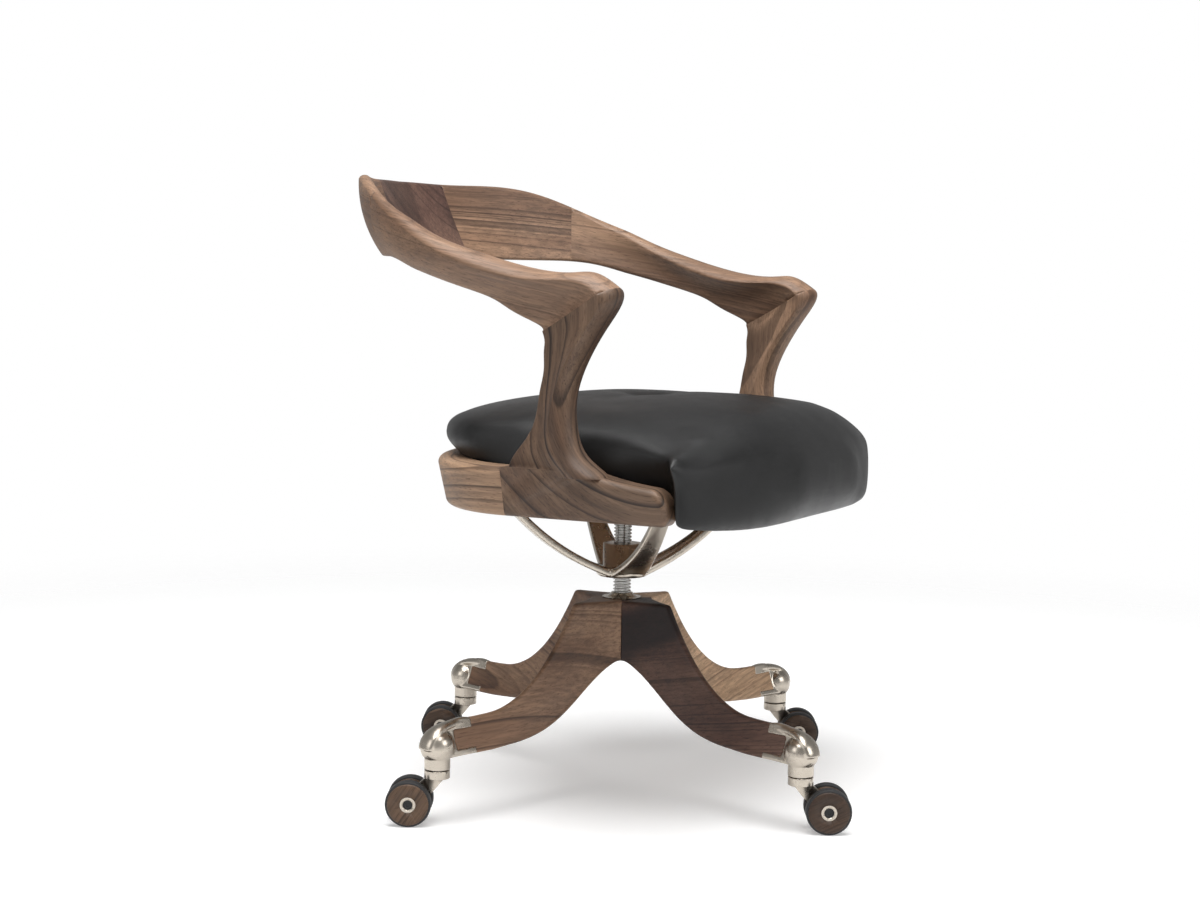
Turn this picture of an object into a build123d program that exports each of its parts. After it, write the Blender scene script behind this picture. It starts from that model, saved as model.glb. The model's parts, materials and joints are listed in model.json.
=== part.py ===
from build123d import *

import os
from math import cos, exp, radians, sin

os.makedirs("parts", exist_ok=True)

# A walnut desk armchair on a four-leg caster base, in millimetres.
# The origin is on the floor under the spindle, +Z is up and the sitter faces -Y.

# Fits
running_fit = 0.05
flat_gap = 0.3
glue_gap = 0.05

# Casters
wheel_diameter = 50.0
wheel_width = 15.0
wheel_spacing = 27.0
wheel_chamfer = 1.2
tyre_thickness = 2.4
tyre_width = 12.0
tyre_round = 1.8
axle_diameter = 8.0
axle_head_diameter = 17.0
axle_head_height = 4.0
axle_socket_diameter = 11.0
axle_socket_depth = 2.8
fork_thickness = 8.0
fork_eye_radius = 9.5
caster_trail = 30.0
swivel_diameter = 28.0
swivel_height = 9.2
swivel_gap = 0.8
kingpin_diameter = 10.0
kingpin_length = 26.0
swivel_edge = 0.8
root_overlap = 1.0

# Base
stem_circle = 280.0
base_turn = 71.5
trail_turns = (116.5, 116.5, 296.5, 296.5)
barrel_diameter = 28.5
barrel_base = 61.0
foot_sole = 74.0
foot_crest = 112.0
foot_half_width = 17.0
crest_half_width = 3.6
leg_reach = 230.0
hub_top = 223.0
hub_arch = 158.0
shoulder_radius = 78.0
crest_power = 2.5
arch_start = 18.0
arch_spread = 82.0
hub_flare = 38.0
hub_flare_reach = 45.0
leg_dish = 2.2
leg_edge = 2.6

# Leg caps
jaw_start = 236.0
jaw_end = 262.0
tongue_low = 81.0
tongue_high = 102.0
nose_radius = 18.5
nose_top = 104.0
nose_bottom = 73.0
beak_half_width = 11.0
beak_height = 4.5
cap_screw_diameter = 7.0
cap_screw_head = 2.0
cap_screw_radius = 249.0
nose_droop = 2.0
neck_in = 1.0
neck_rise = 5.0
beak_lip = 0.6
beak_tip_rise = 11.0

# Spindle and hub
spindle_diameter = 21.0
journal_diameter = 18.0
spindle_clearance = 20.0
bush_diameter = 32.0
flange_diameter = 46.0
flange_height = 6.0
plate_diameter = 60.0
plate_thickness = 4.0
plate_recess = 5.0
collar_diameter = 34.0
collar_height = 9.0
spindle_chamfer = 1.5
collar_chamfer = 1.0
flange_lip = 2.0
flange_edge = 1.2
flange_cove = 3.0

# Spider under the seat
spider_base = 248.5
spider_hub_diameter = 62.0
spider_hub_height = 12.0
spider_hub_round = 5.0
boss_diameter = 46.0
boss_top = 287.0
nut_diameter = 30.0
spider_reach = 146.0
arm_root_radius = 20.0
arm_root_height = 254.0
arm_root_width = 42.0
arm_knee_radius = 62.0
arm_knee_height = 273.0
arm_knee_width = 31.0
arm_end_width = 19.0
arm_thickness = 9.0
arm_channel = 4.0
arm_rim = 3.6
arm_round = 2.5
pad_length = 34.0
pad_width = 26.0
pad_thickness = 5.0
spider_turn = 45.0
pad_screw_diameter = 10.0
pad_screw_head = 2.4
pad_screw_shank = 5.0
channel_round = 1.0
pad_round = 6.0
screw_cover = 2.0

# Seat
board_rise = 6.0
board_thickness = 12.0
board_front = -205.0
seat_sole = 344.0
rail_height = 53.0
rail_thickness = 34.0
rail_flare = 12.0
rail_inset = 14.0
rail_rear = 187.0
rail_round = 7.0
foot_front = -184.0
foot_front_height = 38.0
foot_nose_round = 22.0
foot_toe_round = 9.0
foot_heel = -92.0
foot_scoop = -140.0
foot_scoop_rise = 4.0
seam_y = 6.0
cushion_front = -262.0
cushion_height = 126.0
cushion_gap = 0.8
cushion_side_gap = 8.5
cushion_round = 50.0
cushion_sole_round = 10.0
cushion_swell = 32.0
cushion_inset = 6.0
corner_share = 0.48
# Front roll, bowed in plan: depth from the front, share of the half width, sole's rise, crown's fall
front_roll = (
    (3.0, 0.236, 25, 66),
    (8.0, 0.384, 14, 50),
    (17.0, 0.55, 2, 34),
    (30.0, 0.72, 1, 20),
    (42.0, 0.84, 1, 11),
    (52.0, 0.925, 1, 7),
    (64.0, 0.98, 1, 4),
    (77.0, 1.0, 1, 2),
)
pad_overlap = 2.5
pad_shares = (0.0, 0.3, 0.55, 0.75, 0.89, 0.97)
rear_lap = 29.0
lap_inset = 2.0
roll_rise = 4.0
rear_sag = 28.0
sag_power = 2.2
tuft_depth = 6.0
tuft_radius = 160.0
tuft_y = -20.0

# Arm and back loop
loop_half_outer = 296.0
keel_inset = 28.0
loop_back_outer = 323.0
back_keel_inset = 57.0
loop_side_outer = 60.0
loop_side_keel = 56.0
loop_power_outer = 1.75
loop_power_keel = 2.08
back_top = 706.0
back_bottom = 618.0
arm_top = 594.0
arm_keel = 580.0
top_fall_start = 165.0
top_fall_end = 530.0
keel_fall_start = 222.0
keel_fall_end = 424.0
back_edge_width = 14.0
paddle_width = 50.0
widen_start = 260.0
widen_end = 520.0
paddle_crown = 15.0
back_crown = 5.0
outer_dish = 1.5
back_bulge = 8.0
inner_dish = 6.0
back_dish = 1.0
mitre_y = -112.0
mitre_z = 580.0
armpit_y = -37.0
armpit_z = 540.0
armpit_power = 1.6
post_keel_inset = 29.0
post_dish = 1.0
edge_round = 3.4
keel_width = 9.0
back_seam_half = 70.0
shoulder_seam_turn = 31.0
dowel_diameter = 10.0
dowel_length = 36.0
dowel_rises = (16.0, 38.0)

# Sizes that follow from those above
rail_half_span = loop_half_outer - rail_inset
loop_half_keel = loop_half_outer - keel_inset
loop_back_keel = loop_back_outer - back_keel_inset
post_keel_half = loop_half_outer - post_keel_inset
rail_top = seat_sole + rail_height
board_bottom = seat_sole + board_rise
foot_front_top = seat_sole + foot_front_height
cushion_crown = seat_sole + cushion_height
cushion_half = rail_half_span - cushion_inset
spindle_top = board_bottom - spindle_clearance
dowel_heights = [seat_sole + rise for rise in dowel_rises]


def save(part, name):
    part.label = name
    export_step(part, f"parts/{name}.step")


def save_at(part, location, name):
    with BuildPart() as piece:
        with Locations(location):
            add(part)
    save(piece.part, name)


def smooth_step(value, start, end):
    t = min(max((value - start) / (end - start), 0.0), 1.0)
    return t * t * (3 - 2 * t)


# Casters: swivel fork, axle, walnut discs and rubber tyres
wheel_radius = wheel_diameter / 2
swivel_top = barrel_base - swivel_gap
swivel_base = swivel_top - swivel_height
disc_radius = wheel_radius - tyre_thickness
axle_end = wheel_spacing / 2 + wheel_width / 2
head_seat = axle_end - axle_head_height

with BuildPart() as swivel:
    with BuildSketch(Plane.XY.offset(swivel_base)):
        Circle(swivel_diameter / 2)
    extrude(amount=swivel_height)
    fillet(swivel.edges().filter_by(GeomType.CIRCLE), swivel_edge)
    with BuildSketch(Plane.XY.offset(swivel_top)):
        Circle(kingpin_diameter / 2)
    extrude(amount=kingpin_length)
    with BuildSketch(Plane.XZ):
        with BuildLine():
            front_foot = (swivel_diameter * 0.42, swivel_base + root_overlap)
            back_foot = (-swivel_diameter * 0.3, swivel_base + root_overlap)
            eye_front = (caster_trail + fork_eye_radius * 0.6, wheel_radius + fork_eye_radius * 0.8)
            eye_back = (caster_trail - fork_eye_radius * 0.8, wheel_radius - fork_eye_radius * 0.6)
            eye_low = (caster_trail + fork_eye_radius * 0.6, wheel_radius - fork_eye_radius * 0.8)
            Line(back_foot, front_foot)
            Line(front_foot, eye_front)
            ThreePointArc(eye_front, eye_low, eye_back)
            ThreePointArc(eye_back, (caster_trail * 0.2, wheel_radius + fork_eye_radius), back_foot)
        make_face()
    extrude(amount=fork_thickness / 2, both=True)
    with BuildSketch(Plane.XZ):
        with Locations((caster_trail, wheel_radius)):
            Circle(axle_diameter / 2 + glue_gap)
    extrude(amount=fork_thickness, both=True, mode=Mode.SUBTRACT)

with BuildPart() as axle:
    with BuildSketch(Plane.XY.offset(-head_seat)):
        Circle(axle_diameter / 2)
    extrude(amount=2 * head_seat)
    for side in (1, -1):
        with BuildSketch(Plane((0, 0, side * head_seat), z_dir=(0, 0, side))):
            Circle(axle_head_diameter / 2)
        extrude(amount=axle_head_height - flat_gap)
        with BuildSketch(Plane((0, 0, side * (axle_end - flat_gap)), z_dir=(0, 0, side))):
            Circle(axle_socket_diameter / 2)
        extrude(amount=-axle_socket_depth, mode=Mode.SUBTRACT)

with BuildPart() as disc:
    with BuildSketch(Plane.XY.offset(-wheel_width / 2)):
        Circle(disc_radius)
        Circle(axle_diameter / 2 + running_fit, mode=Mode.SUBTRACT)
    extrude(amount=wheel_width)
    chamfer(disc.edges().filter_by(GeomType.CIRCLE).group_by(SortBy.RADIUS)[-1], wheel_chamfer)
    with BuildSketch(Plane.XY.offset(wheel_width / 2)):
        Circle(axle_head_diameter / 2 + flat_gap)
    extrude(amount=-(axle_head_height + flat_gap), mode=Mode.SUBTRACT)

with BuildPart() as tyre:
    with BuildSketch(Plane.XY.offset(-tyre_width / 2)):
        Circle(wheel_radius)
        Circle(disc_radius + glue_gap, mode=Mode.SUBTRACT)
    extrude(amount=tyre_width)
    fillet(tyre.edges().filter_by(GeomType.CIRCLE).group_by(SortBy.RADIUS)[-1], tyre_round)

for k in range(4):
    leg_turn = radians(base_turn + 90 * k)
    trail = radians(trail_turns[k])
    stem = Vector(stem_circle * cos(leg_turn), stem_circle * sin(leg_turn), 0)
    hub = stem + Vector(caster_trail * cos(trail), caster_trail * sin(trail), wheel_radius)
    axle_dir = Vector(-sin(trail), cos(trail), 0)
    save_at(swivel.part, Location(stem, (0, 0, trail_turns[k])), f"caster_swivel_{k + 1}")
    save_at(axle.part, Plane(hub, z_dir=axle_dir).location, f"caster_axle_{k + 1}")
    for side, hand in ((1, "a"), (-1, "b")):
        seat = Plane(hub + axle_dir * (side * wheel_spacing / 2), z_dir=axle_dir * side)
        save_at(disc.part, seat.location, f"wheel_{k + 1}{hand}")
        save_at(tyre.part, seat.location, f"tyre_{k + 1}{hand}")


# Base legs: ridge-topped ogee legs, mitred at the hub
def crest_height(r):
    rise = max(leg_reach - r, 0.0) / (leg_reach - shoulder_radius)
    return foot_crest + (hub_top - foot_crest) * rise**crest_power


def sole_height(r):
    return foot_sole + (hub_arch - foot_sole) * exp(-((max(r - arch_start, 0.0) / arch_spread) ** 2))


def sole_half_width(r):
    return foot_half_width + hub_flare * exp(-r / hub_flare_reach)


def ridge_section(r, low, high, half):
    with BuildSketch(Plane((r, 0, 0), x_dir=(0, 1, 0), z_dir=(1, 0, 0))) as section:
        with BuildLine():
            waist = (half + crest_half_width) / 2 - leg_dish
            middle = (low + high) / 2
            Line((-half, low), (half, low))
            ThreePointArc((half, low), (waist, middle), (crest_half_width, high))
            Line((crest_half_width, high), (-crest_half_width, high))
            ThreePointArc((-crest_half_width, high), (-waist, middle), (-half, low))
        make_face()
        fillet(section.vertices(), leg_edge)
    return section.sketch


def leg_section(r):
    return ridge_section(r, sole_height(r), crest_height(r), sole_half_width(r))


jaw_length = jaw_end - jaw_start
tongue_gap = tongue_high - tongue_low
jaw_middle = (jaw_start + jaw_end) / 2
plate_seat = hub_arch + plate_recess

with BuildPart() as leg:
    loft([leg_section(r) for r in (0, 25, 50, 75, 100, 130, 165, 200, jaw_start, jaw_end)])
    split(bisect_by=Plane((0, 0, 0), z_dir=(1, -1, 0)), keep=Keep.TOP)
    split(bisect_by=Plane((0, 0, 0), z_dir=(1, 1, 0)), keep=Keep.TOP)
    split(bisect_by=Plane.XY.offset(hub_top), keep=Keep.BOTTOM)
    with BuildSketch(Plane.XZ) as tongues:
        with Locations((jaw_middle, tongue_high)):
            Rectangle(jaw_length, foot_crest, align=(Align.CENTER, Align.MIN))
        with Locations((jaw_middle, tongue_low)):
            Rectangle(jaw_length, foot_sole, align=(Align.CENTER, Align.MAX))
    extrude(amount=2 * foot_half_width, both=True, mode=Mode.SUBTRACT)
    with BuildSketch(Plane.XY):
        Circle(bush_diameter / 2 + glue_gap)
    extrude(amount=hub_top, mode=Mode.SUBTRACT)
    with BuildSketch(Plane.XY):
        Circle(plate_diameter / 2 + glue_gap)
    extrude(amount=plate_seat, mode=Mode.SUBTRACT)

with BuildPart() as cap:
    loft(
        [
            leg_section(jaw_start),
            leg_section(jaw_end),
            ridge_section(stem_circle, nose_bottom, nose_top, foot_half_width),
        ]
    )
    with BuildSketch(Plane.XZ):
        with BuildLine():
            widest = (stem_circle + nose_radius, (nose_bottom + nose_top) / 2 - nose_droop)
            neck = (stem_circle + barrel_diameter / 2, nose_bottom)
            brow = (stem_circle + nose_radius * 0.72, nose_top - nose_radius * 0.28)
            Line((stem_circle, nose_bottom), neck)
            ThreePointArc(neck, (stem_circle + nose_radius - neck_in, nose_bottom + neck_rise), widest)
            ThreePointArc(widest, brow, (stem_circle, nose_top))
            Line((stem_circle, nose_top), (stem_circle, nose_bottom))
        make_face()
    revolve(axis=Axis((stem_circle, 0, 0), (0, 0, 1)))
    beak_path = (
        (jaw_start, foot_crest - beak_height, 0, crest_half_width + beak_lip),
        (jaw_end, foot_crest - beak_height, 8, beak_half_width * 0.6),
        (stem_circle + nose_radius * 0.42, nose_top - beak_height, 48, beak_half_width),
        (stem_circle + nose_radius - beak_height * 0.4, nose_bottom + beak_tip_rise, 86, beak_half_width),
    )
    beak_rings = []
    for r, z, fall, half in beak_path:
        heading = (cos(radians(fall)), 0, -sin(radians(fall)))
        with BuildSketch(Plane((r, 0, z), x_dir=(0, 1, 0), z_dir=heading), mode=Mode.PRIVATE) as ring:
            Ellipse(half, beak_height)
        beak_rings.append(ring.sketch)
    loft(beak_rings)
    with BuildSketch(Plane.XY.offset(barrel_base)):
        with Locations((stem_circle, 0)):
            Circle(barrel_diameter / 2)
    extrude(amount=nose_bottom + root_overlap - barrel_base)
    with BuildSketch(Plane.XZ):
        with Locations((jaw_middle, (tongue_low + tongue_high) / 2)):
            Rectangle(jaw_length, tongue_gap)
    extrude(amount=2 * foot_half_width, both=True, mode=Mode.SUBTRACT)
    with BuildSketch(Plane.XY.offset(barrel_base)):
        with Locations((stem_circle, 0)):
            Circle(kingpin_diameter / 2 + running_fit)
    extrude(amount=kingpin_length - swivel_gap + flat_gap, mode=Mode.SUBTRACT)

with BuildPart() as cap_screw:
    with BuildSketch(Plane.XY.offset(foot_sole - cap_screw_head)):
        with Locations((cap_screw_radius, 0)):
            Circle(cap_screw_diameter / 2)
    extrude(amount=cap_screw_head)

for k in range(4):
    turn = Location((0, 0, 0), (0, 0, base_turn + 90 * k))
    save_at(leg.part, turn, f"base_leg_{k + 1}")
    save_at(cap.part, turn, f"leg_cap_{k + 1}")
with BuildPart() as cap_screws:
    with PolarLocations(0, 4, start_angle=base_turn):
        add(cap_screw.part)
save(cap_screws.part, "cap_screws")

# Spindle, its bush in the hub, the hub plate and the collar that keeps it in
bush_top = hub_top + flange_height
plate_base = plate_seat - plate_thickness
collar_top = plate_base - flat_gap
collar_base = collar_top - collar_height
thread_base = bush_top + flat_gap

with BuildPart() as spindle:
    with BuildSketch(Plane.XY.offset(collar_base)):
        Circle(journal_diameter / 2)
    extrude(amount=thread_base - collar_base)
    with BuildSketch(Plane.XY.offset(thread_base)):
        Circle(spindle_diameter / 2)
    extrude(amount=spindle_top - thread_base)
    chamfer(spindle.edges().group_by(Axis.Z)[-1], spindle_chamfer)
save(spindle.part, "spindle")

with BuildPart() as spindle_bush:
    with BuildSketch(Plane.XZ):
        with BuildLine():
            bore = journal_diameter / 2 + running_fit
            lip = spindle_diameter / 2 + flange_lip
            rim = (flange_diameter / 2, hub_top + flange_edge)
            Line((bore, plate_seat), (bush_diameter / 2, plate_seat))
            Line((bush_diameter / 2, plate_seat), (bush_diameter / 2, hub_top))
            Line((bush_diameter / 2, hub_top), (flange_diameter / 2, hub_top))
            Line((flange_diameter / 2, hub_top), rim)
            ThreePointArc(rim, (lip + flange_cove, hub_top + flange_height * 0.45), (lip, bush_top))
            Line((lip, bush_top), (bore, bush_top))
            Line((bore, bush_top), (bore, plate_seat))
        make_face()
    revolve(axis=Axis.Z)
save(spindle_bush.part, "spindle_bush")

with BuildPart() as hub_plate:
    with BuildSketch(Plane.XY.offset(plate_base)):
        Circle(plate_diameter / 2)
        Circle(journal_diameter / 2 + flat_gap, mode=Mode.SUBTRACT)
    extrude(amount=plate_thickness)
save(hub_plate.part, "hub_plate")

with BuildPart() as spindle_collar:
    with BuildSketch(Plane.XY.offset(collar_base)):
        Circle(collar_diameter / 2)
        Circle(journal_diameter / 2 + glue_gap, mode=Mode.SUBTRACT)
    extrude(amount=collar_height)
    chamfer(spindle_collar.edges().group_by(Axis.Z)[0].group_by(SortBy.RADIUS)[-1], collar_chamfer)
save(spindle_collar.part, "spindle_collar")

# Spider: a cast hub with four channelled arms that carry the seat board
pad_base = board_bottom - pad_thickness
arm_stations = (
    (arm_root_radius, arm_root_height, arm_root_width),
    (arm_knee_radius, arm_knee_height, arm_knee_width),
    (spider_reach, pad_base, arm_end_width),
)


def arm_heading(k):
    before = arm_stations[max(k - 1, 0)]
    after = arm_stations[min(k + 1, 2)]
    return (after[0] - before[0], 0, after[1] - before[1])


def arm_section(k, width, thickness, rise, corner):
    r, z, _ = arm_stations[k]
    section_plane = Plane((r, 0, z), x_dir=(0, 1, 0), z_dir=arm_heading(k))
    with BuildSketch(section_plane) as section:
        with Locations((0, rise)):
            RectangleRounded(width, thickness, corner)
    return section.sketch


with BuildPart() as spider_arm:
    loft([arm_section(k, arm_stations[k][2], arm_thickness, 0, arm_round) for k in range(3)])
    channel_rise = arm_thickness - arm_channel / 2
    loft(
        [
            arm_section(k, arm_stations[k][2] - 2 * arm_rim, arm_thickness, channel_rise, channel_round)
            for k in range(3)
        ],
        mode=Mode.SUBTRACT,
    )
    with BuildSketch(Plane.XY.offset(pad_base)):
        with Locations((spider_reach, 0)):
            RectangleRounded(pad_length, pad_width, pad_round)
    extrude(amount=pad_thickness)
    split(bisect_by=Plane.XY.offset(board_bottom), keep=Keep.BOTTOM)
    with BuildSketch(Plane.XY.offset(pad_base - arm_thickness)):
        with Locations((spider_reach, 0)):
            Circle(pad_screw_shank / 2 + glue_gap)
    extrude(amount=2 * arm_thickness, mode=Mode.SUBTRACT)
    with BuildSketch(Plane.XY.offset(pad_base)):
        with Locations((spider_reach, 0)):
            Circle(pad_screw_diameter / 2 + flat_gap)
    extrude(amount=-2 * arm_thickness, mode=Mode.SUBTRACT)

nut_bore = spindle_diameter / 2 + running_fit
with BuildPart() as spider:
    with BuildSketch(Plane.XY.offset(spider_base)):
        Circle(spider_hub_diameter / 2)
    extrude(amount=spider_hub_height)
    fillet(spider.edges().group_by(Axis.Z)[0], spider_hub_round)
    with PolarLocations(0, 4, start_angle=spider_turn):
        add(spider_arm.part)
    with BuildSketch(Plane.XY.offset(spider_base)):
        Circle(boss_diameter / 2)
    extrude(amount=boss_top - spider_base)
    with BuildSketch(Plane.XY.offset(spider_base)):
        Circle(nut_diameter / 2 + glue_gap)
    extrude(amount=boss_top - spider_base, mode=Mode.SUBTRACT)
    split(bisect_by=Plane.XY.offset(spider_base), keep=Keep.TOP)
save(spider.part, "seat_spider")

with BuildPart() as height_nut:
    with BuildSketch(Plane.XY.offset(spider_base)):
        Circle(nut_diameter / 2)
        Circle(nut_bore, mode=Mode.SUBTRACT)
    extrude(amount=boss_top - spider_base)
save(height_nut.part, "height_nut")

with BuildPart() as pad_screw:
    with BuildSketch(Plane.XY.offset(pad_base - pad_screw_head)):
        with Locations((spider_reach, 0)):
            Circle(pad_screw_diameter / 2)
    extrude(amount=pad_screw_head)
    with BuildSketch(Plane.XY.offset(pad_base)):
        with Locations((spider_reach, 0)):
            Circle(pad_screw_shank / 2)
    extrude(amount=pad_thickness + board_thickness - screw_cover)
with BuildPart() as spider_screws:
    with PolarLocations(0, 4, start_angle=spider_turn):
        add(pad_screw.part)
save(spider_screws.part, "spider_screws")

# Seat board
rail_inner = rail_half_span - rail_thickness
rail_depth = rail_rear - seam_y
board_half = rail_inner - flat_gap
board_rear = rail_depth - rail_thickness - flat_gap
with BuildPart() as seat_board:
    with BuildSketch(Plane.XY.offset(board_bottom)):
        with Locations((0, seam_y)):
            Ellipse(board_half, board_rear)
        with Locations((0, board_front)):
            Rectangle(2 * board_half, seam_y - board_front, align=(Align.CENTER, Align.MIN))
    extrude(amount=board_thickness)
    with BuildSketch(Plane.XY.offset(board_bottom)):
        with PolarLocations(spider_reach, 4, start_angle=spider_turn):
            Circle(pad_screw_shank / 2 + glue_gap)
    extrude(amount=board_thickness - screw_cover + glue_gap, mode=Mode.SUBTRACT)
save(seat_board.part, "seat_board")

# Seat rails: a flared rim of walnut, half an ellipse in plan, in two halves
with BuildPart() as rail_rim:
    with BuildSketch(Plane.XY.offset(seat_sole)):
        with Locations((0, seam_y)):
            Ellipse(rail_half_span - rail_flare, rail_depth - rail_flare)
    with BuildSketch(Plane.XY.offset(rail_top)):
        with Locations((0, seam_y)):
            Ellipse(rail_half_span, rail_depth)
    loft(ruled=True)
    fillet(rail_rim.edges().filter_by(GeomType.ELLIPSE), rail_round)
    with BuildSketch(Plane.XY.offset(seat_sole)):
        with Locations((0, seam_y)):
            Ellipse(rail_inner, rail_depth - rail_thickness)
    extrude(amount=rail_top - seat_sole, mode=Mode.SUBTRACT)
    split(bisect_by=Plane((0, seam_y, 0), z_dir=(0, 1, 0)), keep=Keep.TOP)


# A three-cornered section: two top edges, a narrow keel, a crowned top and dished flanks
def three_edge_section(outer, inner, keel, crown, flank_out, flank_in):
    o, i, k = Vector(*outer), Vector(*inner), Vector(*keel)
    across = (o - i).normalized() * (keel_width / 2)
    k_out, k_in = k + across, k - across
    centre = (o + i + k) / 3

    def side_middle(a, b, swell):
        middle = (a + b) / 2
        along = (b - a).normalized()
        away = middle - centre
        away = (away - along * away.dot(along)).normalized()
        return middle + away * swell

    with BuildLine() as outline:
        ThreePointArc(i, side_middle(i, o, crown), o)
        ThreePointArc(o, side_middle(o, k_out, flank_out), k_out)
        Line(k_out, k_in)
        ThreePointArc(k_in, side_middle(k_in, i, flank_in), i)
    wire = outline.wires()[0]
    return Face(wire.fillet_2d(edge_round, wire.vertices()))


def round_plan(half, back, side, power, turn):
    x = half * sin(turn) ** (2 / power)
    y = side + (back - side) * cos(turn) ** (2 / power)
    return x, y


# Stations of the loop, from the middle of the back to the mitre at the front of an arm
loop_turns = [radians(t) for t in (0, 12, 26, 40, 54, 66, 76, 84)]
arm_ys = (28.0, -18.0, -66.0, mitre_y)
keel_ys = (34.0, 12.0, -12.0, armpit_y)
stations = []
for turn in loop_turns:
    top_point = round_plan(loop_half_outer, loop_back_outer, loop_side_outer, loop_power_outer, turn)
    keel_point = round_plan(loop_half_keel, loop_back_keel, loop_side_keel, loop_power_keel, turn)
    stations.append((top_point, keel_point))
for arm_y, keel_y in zip(arm_ys, keel_ys):
    stations.append(((loop_half_outer, arm_y), (loop_half_keel, keel_y)))


def run_length(points):
    total = 0.0
    for a, b in zip(points[:-1], points[1:]):
        total += ((a[0] - b[0]) ** 2 + (a[1] - b[1]) ** 2) ** 0.5
    return total


def loop_section(k, hand):
    top_point, keel_point = stations[k]
    top_run = run_length([s[0] for s in stations[: k + 1]])
    keel_run = run_length([s[1] for s in stations[: k + 1]])
    fall = smooth_step(top_run, top_fall_start, top_fall_end)
    top_z = back_top + (arm_top - back_top) * fall
    if k == len(stations) - 1:
        top_z = mitre_z
    drop = smooth_step(keel_run, keel_fall_start, keel_fall_end)
    keel_z = back_bottom + (arm_keel - back_bottom) * drop
    bend = max(loop_side_keel - keel_point[1], 0.0) / (loop_side_keel - armpit_y)
    keel_z -= (arm_keel - armpit_z) * bend**armpit_power
    widen = smooth_step(top_run, widen_start, widen_end)
    width = back_edge_width + (paddle_width - back_edge_width) * widen
    toward = Vector(-top_point[0], min(loop_side_outer - top_point[1], 0.0), 0).normalized()
    inner_x = top_point[0] + toward.X * width
    inner_y = top_point[1] + toward.Y * width
    crown = back_crown + (paddle_crown - back_crown) * widen
    flank_out = back_bulge + (-outer_dish - back_bulge) * widen
    flank_in = -back_dish + (-inner_dish + back_dish) * widen
    return three_edge_section(
        (hand * top_point[0], top_point[1], top_z),
        (hand * inner_x, inner_y, top_z),
        (hand * keel_point[0], keel_point[1], keel_z),
        crown,
        flank_out,
        flank_in,
    )


count = len(stations)
loop_faces = [loop_section(k, 1) for k in range(count - 1, -1, -1)]
loop_faces += [loop_section(k, -1) for k in range(1, count)]
with BuildPart() as loop:
    loft(loop_faces)

seam_turn = radians(shoulder_seam_turn)
shoulder_plane = Plane((0, loop_side_outer, 0), z_dir=(sin(seam_turn), -cos(seam_turn), 0))
centre_plane = Plane((back_seam_half, 0, 0), z_dir=(1, 0, 0))
other_centre = Plane((-back_seam_half, 0, 0), z_dir=(1, 0, 0))
with BuildPart() as half_loop:
    add(loop.part)
    split(bisect_by=Plane.YZ, keep=Keep.TOP)
with BuildPart() as arm_left:
    add(half_loop.part)
    split(bisect_by=shoulder_plane, keep=Keep.TOP)
with BuildPart() as shoulder_left:
    add(half_loop.part)
    split(bisect_by=shoulder_plane, keep=Keep.BOTTOM)
    split(bisect_by=centre_plane, keep=Keep.TOP)
with BuildPart() as back_centre:
    add(loop.part)
    split(bisect_by=centre_plane, keep=Keep.BOTTOM)
    split(bisect_by=other_centre, keep=Keep.TOP)


# Posts: the same three-cornered member turned down at the mitre and flared into a rail foot.
# Each station has the front edges' insets, y and share of the rise, the rear edge's y and share, the crown.
post_stations = (
    (1, 49, -110, 0.891, -39, 0.888, 15),
    (4, 47, -90, 0.743, -39, 0.776, 18),
    (7, 46, -71, 0.574, -37, 0.643, 18),
    (10, 46, -58, 0.399, -33, 0.497, 18),
    (11, 46, -52, 0.235, -26, 0.301, 25),
    (11, 47, -54, 0.115, -11, 0.147, 30),
    (12, 47, -64, 0.027, 0, 0.035, 36),
    (13, 47, -74, -0.038, 5, -0.049, 40),
)
post_faces = [loop_section(count - 1, 1)]
for out_inset, in_inset, front_y, front_share, rear_y, rear_share, crown in post_stations:
    front_z = rail_top + front_share * (mitre_z - rail_top)
    rear_z = rail_top + rear_share * (armpit_z - rail_top)
    front_out = (loop_half_outer - out_inset, front_y, front_z)
    front_in = (loop_half_outer - in_inset, front_y, front_z)
    rear = (post_keel_half, rear_y, rear_z)
    post_faces.append(three_edge_section(front_out, front_in, rear, crown, -outer_dish, -post_dish))
post_base = front_z

flare_slope = rail_flare / (rail_top - seat_sole)
with BuildPart() as foot:
    with BuildSketch(Plane.YZ.offset(rail_inner)) as foot_side:
        with BuildLine():
            Line((seam_y, seat_sole), (foot_front, seat_sole))
            Line((foot_front, seat_sole), (foot_front, foot_front_top))
            heel = (foot_heel, rail_top)
            ThreePointArc((foot_front, foot_front_top), (foot_scoop, foot_front_top + foot_scoop_rise), heel)
            Line(heel, (seam_y, rail_top))
            Line((seam_y, rail_top), (seam_y, seat_sole))
        make_face()
        nose = foot_side.vertices().sort_by_distance((foot_front, foot_front_top, 0))[0]
        fillet(nose, foot_nose_round)
        toe = foot_side.vertices().sort_by_distance((foot_front, seat_sole, 0))[0]
        fillet(toe, foot_toe_round)
    extrude(amount=rail_thickness)
    outside = Plane((rail_half_span, 0, rail_top), z_dir=(1, 0, -flare_slope))
    split(bisect_by=outside, keep=Keep.BOTTOM)
    long_edges = foot.edges().filter_by(lambda e: e.center().X > rail_inner + 1)
    lower = long_edges.filter_by(Axis.Y).group_by(Axis.Z)[0]
    fillet(lower, rail_round)

with BuildPart() as post_left:
    loft(post_faces)
    split(bisect_by=Plane.XY.offset(post_base), keep=Keep.TOP)
    add(foot.part)


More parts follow.
